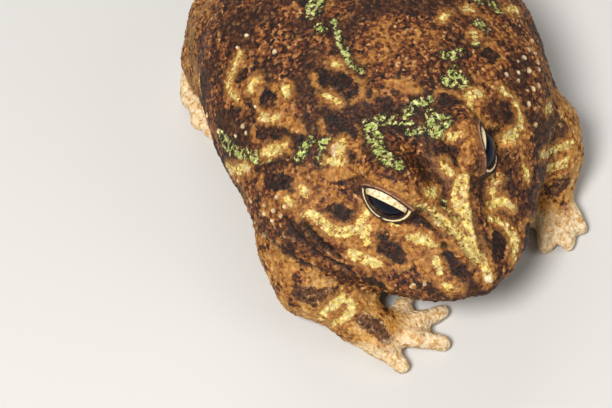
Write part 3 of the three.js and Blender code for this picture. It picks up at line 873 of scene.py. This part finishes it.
def lid_places(points):
    """How far outside the nearer eye's opening each point lies, and whether it is below it."""
    edges = {side: opening_edge(points, side)[1] for side in SIDES}
    gap = np.minimum(edges["right"], edges["left"])
    below = np.zeros(len(points))
    for side in SIDES:
        _, _, y, _ = on_eye(points, side)
        under = smooth_step(LID_LINE_BLEND, -LID_LINE_BLEND, y - CORNER_RISE)
        below = np.where(edges[side] == gap, under, below)
    return gap, below


def lid_wrinkles(points, gap, below):
    """Wrinkles above the eye, along the edge of the upper lid."""
    sway = WRINKLE["sway"] * lumps(points, WRINKLE["size"], WRINKLE["seed"])
    wave = WRINKLE["height"] * np.sin(2 * np.pi * gap / WRINKLE["apart"] + sway)
    return wave * (1 - below) * smooth_step(*WRINKLE_START, gap) * smooth_step(*WRINKLE_END, gap)


# Where the skin is pale: on low fingers and toes, and on the belly where it faces down
PALE_HANDS = 0.85
FINGER_HEIGHTS = (7, 4.5)
BELLY_FACING = (0.2, 0.8)
BELLY_HEIGHTS = (14, 4)
THIGH_LIMB = 0.5


def store_parts(mesh, points, normals, shares, hands):
    """Keeps where the limbs, the pale fingers and the belly are."""
    low_hands = hands * smooth_step(*FINGER_HEIGHTS, points[:, 2])
    facing_down = smooth_step(*BELLY_FACING, -normals[:, 2])
    limb = shares["foreleg"] + hands + THIGH_LIMB * shares["hind_leg"]
    store(mesh, "limb", np.clip(limb, 0, 1))
    store(mesh, "pale", PALE_HANDS * low_hands)
    store(mesh, "belly", facing_down * smooth_step(*BELLY_HEIGHTS, points[:, 2]))


def sculpt(skin):
    """Forms the lids, keeps the markings as numbers at the vertices, and raises the relief."""
    mesh = skin.data
    cut_lids(mesh)
    points = points_of(mesh)
    normals = normals_of(mesh)
    tree = BVHTree.FromObject(skin, bpy.context.evaluated_depsgraph_get())
    shares = node_shares(points, edges_of(mesh))
    hands = np.clip(shares["hand"] + shares["foot"], 0, 1)
    store_parts(mesh, points, normals, shares, hands)
    strewn = strewn_marks(points, normals, shares)
    outside = {}
    for name, chains in MARK_CHAINS.items():
        seen = [traced(tree, chain) for chain in chains]
        outside[name] = nearest_of(points, seen + strewn[name])
        store(mesh, name, outside[name])
    gap, below = lid_places(points)
    store(mesh, "lid_gap", gap)
    store(mesh, "lid_below", below)
    calm = smooth_step(*LID_CALM, gap)
    face, shade = face_relief(points, shares, tree)
    relief, on_granule = skin_relief(points, hands, calm, outside["cream"])
    relief += lid_wrinkles(points, gap, below) + face * smooth_step(*FACE_NEAR_LIDS, gap)
    # How high on a granule each point is: below 1 it darkens the hollows between granules as painted
    # shade
    store(mesh, "grain", on_granule)
    # Painted shade in the mouth's slit, the nostril pits, the skin's folds and the grooves beside the
    # snout's ridges
    store(mesh, "groove", shade)
    low, high = [local(corner) for corner in CAD_BOX]
    set_points(mesh, np.clip(points + relief[:, None] * normals, low, high))


# Materials
class Paint:
    """A material's nodes, with one short call for each kind of node."""

    def __init__(self, name):
        self.material = bpy.data.materials.new(name)
        self.material.use_nodes = True
        self.tree = self.material.node_tree
        self.shader = self.tree.nodes["Principled BSDF"]
        self.place = self.tree.nodes.new("ShaderNodeTexCoord").outputs["Object"]

    def feed(self, socket, value):
        if isinstance(value, bpy.types.NodeSocket):
            self.tree.links.new(value, socket)
        elif isinstance(value, tuple):
            socket.default_value = (*value, 1)[:len(socket.default_value)]
        else:
            socket.default_value = value

    def surface(self, inputs):
        for name, value in inputs.items():
            self.feed(self.shader.inputs[name], value)

    def outputs(self, kind, inputs, **settings):
        """The outputs of a new node with these inputs and settings."""
        node = self.tree.nodes.new("ShaderNode" + kind)
        for name, value in settings.items():
            setattr(node, name, value)
        for name, value in inputs.items():
            self.feed(node.inputs[name], value)
        return node.outputs

    def attribute(self, name):
        return self.outputs("Attribute", {}, attribute_name=name)["Fac"]

    def noise(self, size, detail=3, roughness=0.55, distortion=0.0, shift=0.0):
        """Noise with lumps of a size in millimetres."""
        place = self.place
        if shift:
            place = self.outputs("VectorMath", {0: place, 1: (shift, 2 * shift, 3 * shift)})[0]
        inputs = {
            "Vector": place,
            "Scale": 1 / (size * MM),
            "Detail": detail,
            "Roughness": roughness,
            "Distortion": distortion,
        }
        return self.outputs("TexNoise", inputs)["Fac"]

    def cells(self, size, output="Distance"):
        return self.outputs("TexVoronoi", {"Vector": self.place, "Scale": 1 / (size * MM)})[output]

    def math(self, kind, a, b=0.0):
        return self.outputs("Math", {0: a, 1: b}, operation=kind)[0]

    def step(self, low, high, value):
        """A smooth step from 0 at low to 1 at high; low may be the larger."""
        inputs = {"Value": value, "From Min": low, "From Max": high}
        return self.outputs("MapRange", inputs, interpolation_type="SMOOTHSTEP")["Result"]

    def mix(self, share, a, b, kind="MIX"):
        inputs = {"Factor": share, "A": a, "B": b}
        return self.outputs("Mix", inputs, data_type="RGBA", blend_type=kind)["Result"]

    def ramp(self, value, stops):
        node = self.tree.nodes.new("ShaderNodeValToRGB")
        self.feed(node.inputs["Fac"], value)
        ramp = node.color_ramp
        while len(ramp.elements) < len(stops):
            ramp.elements.new(1)
        for element, (position, colour) in zip(ramp.elements, stops):
            element.position = position
            element.color = (*colour, 1)
        return node.outputs["Color"]

    def bump(self, height, depth, below=None):
        """Bump from a height of 0 to 1, its depth in millimetres."""
        inputs = {"Height": height, "Distance": depth * MM}
        if below:
            inputs["Normal"] = below
        return self.outputs("Bump", inputs)["Normal"]

    def times(self, a, b):
        return self.math("MULTIPLY", a, b)

    def plus(self, a, b):
        return self.math("ADD", a, b)

    def minus(self, a, b):
        return self.math("SUBTRACT", a, b)


BLACK_BROWN = (0.009, 0.004, 0.002)
DARK_BROWN = (0.036, 0.012, 0.005)
RED_BROWN = (0.14, 0.036, 0.01)
RUST = (0.3, 0.09, 0.02)
TAN = (0.5, 0.225, 0.06)
PALE = (0.7, 0.45, 0.19)
CREAM_WHITE = (0.85, 0.68, 0.36)
OCHRE = (0.54, 0.25, 0.045)
LEMON = (0.8, 0.57, 0.11)
LIME_GREEN = (0.46, 0.57, 0.11)
PALE_LIME = (0.83, 0.83, 0.38)
LID_DARK = (0.03, 0.014, 0.01)
LID_PINK = (0.42, 0.22, 0.13)
LID_BROWN = (0.16, 0.06, 0.018)
HOLLOW_SHADE_TINT = (0.28, 0.22, 0.18)
# Near-black pupil, whose blue tint is a painted reflection
PUPIL_BLACK_AND_PAINTED_BLUE_REFLECTION = (0.0006, 0.002, 0.009)
IRIS_GOLD = (0.8, 0.6, 0.2)

# Colours over the value of a noise, which lies mostly between 0.35 and 0.7
GROUND_STOPS = [
    (0.36, BLACK_BROWN),
    (0.43, DARK_BROWN),
    (0.5, RED_BROWN),
    (0.56, RUST),
    (0.63, TAN),
    (0.7, PALE),
]
WARM_STOPS = [(0.38, RED_BROWN), (0.46, RUST), (0.54, OCHRE), (0.64, TAN), (0.72, PALE)]
LIMB_STOPS = [(0.4, DARK_BROWN), (0.44, RUST), (0.49, OCHRE), (0.56, (0.62, 0.34, 0.1)), (0.66, PALE)]
DARK_STOPS = [(0.42, BLACK_BROWN), (0.54, DARK_BROWN), (0.62, RED_BROWN), (0.72, TAN)]
OCHRE_STOPS = [(0.36, RED_BROWN), (0.44, RUST), (0.5, OCHRE), (0.58, TAN), (0.7, PALE)]
BROWN_STOPS = [
    (0.38, DARK_BROWN),
    (0.5, (0.12, 0.045, 0.016)),
    (0.58, (0.24, 0.11, 0.04)),
    (0.64, PALE),
]
LIME_STOPS = [(0.36, (0.1, 0.13, 0.03)), (0.45, LIME_GREEN), (0.6, PALE_LIME)]
YELLOW_STOPS = [(0.34, OCHRE), (0.42, LEMON), (0.52, (0.9, 0.76, 0.27)), (0.64, CREAM_WHITE)]
FINGER_STOPS = [(0.36, TAN), (0.44, PALE), (0.54, (0.9, 0.74, 0.48))]
BELLY_STOPS = [(0.35, TAN), (0.5, PALE), (0.65, CREAM_WHITE)]
IRIS_STOPS = [(0.33, (0.3, 0.17, 0.06)), (0.43, (0.6, 0.42, 0.2)), (0.52, (0.78, 0.68, 0.46))]

# Sizes of the skin's noises, and how far the noises of two kinds of marks are moved apart in metres
SPECKLE = 1.3
GRAIN = 0.75
BROAD_PATCHES = 11
LIMB_PATCHES = 5
RIM_PATCHES = 7
RAGGED_SIZES = (2.6, 0.6)
RAGGED_SWING = 4
MARK_SHIFT = 0.01
PORES = 0.4
PITS = 1.2


def ragged(paint, name, coarse, fine):
    """A marking's distance, made uneven by about so many millimetres of coarse and fine noise."""
    shift = MARK_SHIFT * (1 + MARKS.index(name))
    total = paint.attribute(name)
    for size, amount in zip(RAGGED_SIZES, (coarse, fine)):
        noise = paint.minus(paint.noise(size, 3, 0.6, shift=shift), 0.5)
        total = paint.plus(total, paint.times(noise, RAGGED_SWING * amount))
    return total


# The ground's colours: the shares of the speckle and of single grains, and how strongly broad
# patches turn dark or warm
SPECKLE_SHARE = 0.68
GRAIN_SHARE = 0.32
SHADED_SHARE = 0.72
WARM_SHARE = 0.7
SHADED_EDGE = (0.52, 0.42)
WARM_EDGE = (0.55, 0.66)
BROKEN_RIM = (0.47, 0.57)


def ground_colour(paint, fine):
    """Red-brown and dark-brown skin, speckled grain by grain, and ochre limbs."""
    grains = paint.cells(GRAIN, "Color")
    tone = paint.plus(paint.times(fine, SPECKLE_SHARE), paint.times(grains, GRAIN_SHARE))
    speckle = paint.ramp(tone, GROUND_STOPS)
    broad = paint.noise(BROAD_PATCHES, 3, 0.5, shift=0.07)
    shaded = paint.mix(SHADED_SHARE, speckle, DARK_BROWN)
    ground = paint.mix(paint.step(*SHADED_EDGE, broad), speckle, shaded)
    warm = paint.ramp(tone, WARM_STOPS)
    warm_share = paint.times(paint.step(*WARM_EDGE, broad), WARM_SHARE)
    ground = paint.mix(warm_share, ground, warm)
    patches = paint.noise(LIMB_PATCHES, 3, 0.5)
    limb_tone = paint.plus(paint.times(tone, 0.5), paint.times(patches, 0.5))
    return paint.mix(paint.attribute("limb"), ground, paint.ramp(limb_tone, LIMB_STOPS))


# Patches: the kind, its coarse and fine unevenness, and the width of its soft edge
PATCHES = [("dark", 0.8, 0.4, 0.25), ("ochre", 0.8, 0.3, 0.5), ("brown", 0.7, 0.4, 0.25)]
# Streaks: the kind, its colours, its coarse and fine unevenness, the noise below which it has pits,
# and its halo's colours
STREAKS = [
    ("lime", LIME_STOPS, 0.6, 0.6, 0.48, DARK_STOPS),
    ("yellow", YELLOW_STOPS, 0.6, 0.45, 0.43, OCHRE_STOPS),
]
PATCH_STOPS = {"dark": DARK_STOPS, "ochre": OCHRE_STOPS, "brown": BROWN_STOPS}
RIM_EDGE = (2.2, 0.8)
HALO_EDGE = (2.3, 0.5)
HALO_SHARE = 0.85
STREAK_EDGE = (0.45, 0.05)
PIT_EDGE = 0.05
CREAM_EDGE = (0.15, -0.25)


def marked(paint, colour, fine):
    """The markings: dark blotches with broken ochre rims, patches, streaks and pale tubercles."""
    broken = paint.step(*BROKEN_RIM, paint.noise(RIM_PATCHES, 3, 0.5, shift=0.13))
    rim = paint.step(*RIM_EDGE, ragged(paint, "dark", 0.9, 0.18))
    colour = paint.mix(paint.times(rim, broken), colour, paint.ramp(fine, OCHRE_STOPS))
    for name, coarse, grain, soft in PATCHES:
        share = paint.step(soft, -soft, ragged(paint, name, coarse, grain))
        colour = paint.mix(share, colour, paint.ramp(fine, PATCH_STOPS[name]))
    for name, stops, coarse, grain, holes, halo_stops in STREAKS:
        distance = ragged(paint, name, coarse, grain)
        halo = paint.times(paint.step(*HALO_EDGE, distance), HALO_SHARE)
        colour = paint.mix(halo, colour, paint.ramp(fine, halo_stops))
        pits = paint.step(holes, holes + PIT_EDGE, paint.noise(PITS, 5, 0.7, 0.4, shift=0.02))
        share = paint.times(paint.step(*STREAK_EDGE, distance), pits)
        colour = paint.mix(share, colour, paint.ramp(fine, stops))
    cream = paint.step(*CREAM_EDGE, ragged(paint, "cream", 0.12, 0.12))
    return paint.mix(cream, colour, paint.ramp(fine, FINGER_STOPS))


# Where the lines along the lids end, outside the edge of the opening
LOWER_DARK = (1.5, 0.9)
UPPER_BROWN = (1.4, 0.8)
UPPER_PINK = (0.72, 0.58)
UPPER_DARK = (0.5, 0.35)
CREAM_OUTER = (0.34, 0.26)
CREAM_INNER = (0.06, 0.12)
LID_SWING = 2.5
# Where the pink and the cream break off: the size of the breaks and the noise at their edges
PINK_BREAKS = 1.2
PINK_KEPT = (0.3, 0.6)
CREAM_BREAKS = 1.6
CREAM_KEPT = (0.26, 0.4)


def lid_colour(paint, colour):
    """The thin lines along the lids: cream on dark below the eye, dark, pink and brown above it."""
    gap = paint.attribute("lid_gap")
    lower = paint.attribute("lid_below")
    upper = paint.minus(1.0, lower)
    uneven = paint.times(paint.minus(paint.noise(1.1, 3, 0.6), 0.5), LID_SWING)
    uneven = paint.plus(gap, uneven)
    colour = paint.mix(paint.times(paint.step(*LOWER_DARK, uneven), lower), colour, LID_DARK)
    colour = paint.mix(paint.times(paint.step(*UPPER_BROWN, uneven), upper), colour, LID_BROWN)
    pink = paint.times(paint.step(*UPPER_PINK, gap), upper)
    pink = paint.times(pink, paint.step(*PINK_KEPT, paint.noise(PINK_BREAKS, 3, 0.6)))
    colour = paint.mix(pink, colour, LID_PINK)
    dark_edge = paint.times(paint.step(*UPPER_DARK, gap), upper)
    colour = paint.mix(dark_edge, colour, LID_DARK)
    line = paint.times(paint.step(*CREAM_OUTER, gap), paint.step(*CREAM_INNER, gap))
    broken = paint.step(*CREAM_KEPT, paint.noise(CREAM_BREAKS, 2, 0.5))
    return paint.mix(paint.times(paint.times(line, broken), lower), colour, CREAM_WHITE)


HOLLOW_SHADE_SHARE = 0.62
GROOVE_SHADE_SHARE = 0.9
LEAST_ROUGHNESS = 0.4
ROUGHNESS_SWING = 0.35
PORE_DEPTH = 0.16
GRAIN_DEPTH = 0.22


def skin_material():
    paint = Paint("frog_skin")
    fine = paint.noise(SPECKLE, 6, 0.72, 0.4)
    colour = marked(paint, ground_colour(paint, fine), fine)
    colour = paint.mix(paint.attribute("belly"), colour, paint.ramp(fine, BELLY_STOPS))
    colour = paint.mix(paint.attribute("pale"), colour, paint.ramp(fine, FINGER_STOPS))
    # Painted shade: the hollows between granules are multiplied darker with a brown tint
    hollow_shade = paint.times(paint.minus(1.0, paint.attribute("grain")), HOLLOW_SHADE_SHARE)
    colour = paint.mix(hollow_shade, colour, HOLLOW_SHADE_TINT, "MULTIPLY")
    # Painted shade: the mouth's slit, the nostril pits, the folds and the grooves beside the ridges are
    # darkened towards black-brown
    groove = paint.times(paint.attribute("groove"), GROOVE_SHADE_SHARE)
    colour = paint.mix(groove, colour, BLACK_BROWN)
    colour = lid_colour(paint, colour)
    rough = paint.plus(LEAST_ROUGHNESS, paint.times(fine, ROUGHNESS_SWING))
    bump = paint.bump(paint.noise(PORES, 3, 0.6), PORE_DEPTH)
    bump = paint.bump(paint.minus(1.0, paint.cells(GRAIN)), GRAIN_DEPTH, bump)
    paint.surface({
        "Base Color": colour,
        "Roughness": rough,
        "Normal": bump,
        "IOR": 1.33,
        "Subsurface Weight": 0.03,
        "Subsurface Radius": (0.001, 0.0005, 0.0003),
    })
    return paint.material


IRIS_MOTTLE = 0.7
GOLD_RING = (0.9, 0.1)
GOLD_SHARE = 0.35
PUPIL_EDGE = (0.06, -0.06)


def eye_material():
    paint = Paint("frog_eye")
    iris = paint.ramp(paint.noise(IRIS_MOTTLE, 4, 0.6), IRIS_STOPS)
    golden = paint.times(paint.step(*GOLD_RING, paint.attribute("pupil")), GOLD_SHARE)
    iris = paint.mix(golden, iris, IRIS_GOLD)
    pupil = paint.step(*PUPIL_EDGE, paint.attribute("pupil"))
    # The pupil: near black, tinted blue as a painted reflection
    colour = paint.mix(pupil, iris, PUPIL_BLACK_AND_PAINTED_BLUE_REFLECTION)
    paint.surface({"Base Color": colour, "Roughness": 0.05, "IOR": 1.22})
    return paint.material


# Pieces
def make_skin():
    skin = closed_flesh()
    sculpt(skin)
    skin.data.shade_smooth()
    skin.data.materials.append(skin_material())
    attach(skin, "root")
    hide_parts(*FLESH)


# The pupil on the eyeball: how high its middle lies, its half length and its half height
PUPIL_RISE = {"right": -2.4, "left": -0.7}
PUPIL_HALF = {"right": (5.1, 3.35), "left": (6.0, 4.2)}
EYEBALL_CLEARANCE = 0.02


def make_eye(side, material):
    name = "eyeball_" + side
    shape = bmesh.new()
    radius = (EYE_RADIUS - EYEBALL_CLEARANCE) * MM
    bmesh.ops.create_icosphere(shape, subdivisions=6, radius=radius)
    bmesh.ops.translate(shape, vec=world(EYE_CENTRE[side]), verts=shape.verts)
    mesh = bpy.data.meshes.new(name)
    shape.to_mesh(mesh)
    shape.free()
    piece = bpy.data.objects.new(name, mesh)
    bpy.context.scene.collection.objects.link(piece)
    mesh.shade_smooth()
    _, x, y, front = on_eye(points_of(mesh), side)
    half_length, half_height = PUPIL_HALF[side]
    ring = np.hypot(x / half_length, (y - PUPIL_RISE[side]) / half_height)
    store(mesh, "pupil", np.where(front > 0, (ring - 1) * half_height, FAR))
    mesh.materials.append(material)
    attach(piece, "root")
    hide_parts("eye_" + side)


# Studio, in metres and watts: each light's name, place, size and power
LIGHTS = [
    ("key", (-0.35, -0.35, 0.75), 0.3, 10),
    ("fill", (0.6, -0.4, 0.5), 0.6, 1.6),
    ("rim", (0.1, 0.7, 0.6), 0.5, 1.8),
]
LIGHT_AIM = (0, 0, 0.02)
FLOOR_SIZE = 4
FLOOR_COLOUR = (0.56, 0.545, 0.52)
SKY_COLOUR = (1, 0.98, 0.95)
SKY_STRENGTH = 0.22


def make_floor():
    bpy.ops.mesh.primitive_plane_add(size=FLOOR_SIZE, location=(0, 0, 0))
    floor = bpy.context.object
    floor.name = "floor"
    paint = Paint("floor")
    paint.surface({"Base Color": FLOOR_COLOUR, "Roughness": 0.8})
    floor.data.materials.append(paint.material)


def area_light(name, place, size, power):
    data = bpy.data.lights.new(name, "AREA")
    data.shape = "DISK"
    data.size = size
    data.energy = power
    light = bpy.data.objects.new(name, data)
    light.location = place
    direction = Vector(LIGHT_AIM) - Vector(place)
    light.rotation_euler = direction.to_track_quat("-Z", "Y").to_euler()
    bpy.context.scene.collection.objects.link(light)


def make_studio():
    make_floor()
    for light in LIGHTS:
        area_light(*light)
    sky = bpy.data.worlds.new("studio")
    sky.use_nodes = True
    background = sky.node_tree.nodes["Background"]
    background.inputs["Color"].default_value = (*SKY_COLOUR, 1)
    background.inputs["Strength"].default_value = SKY_STRENGTH
    bpy.context.scene.world = sky
    bpy.context.scene.view_settings.view_transform = "Standard"


make_camera()
make_skin()
eye_paint = eye_material()
for side in SIDES:
    make_eye(side, eye_paint)
make_studio()
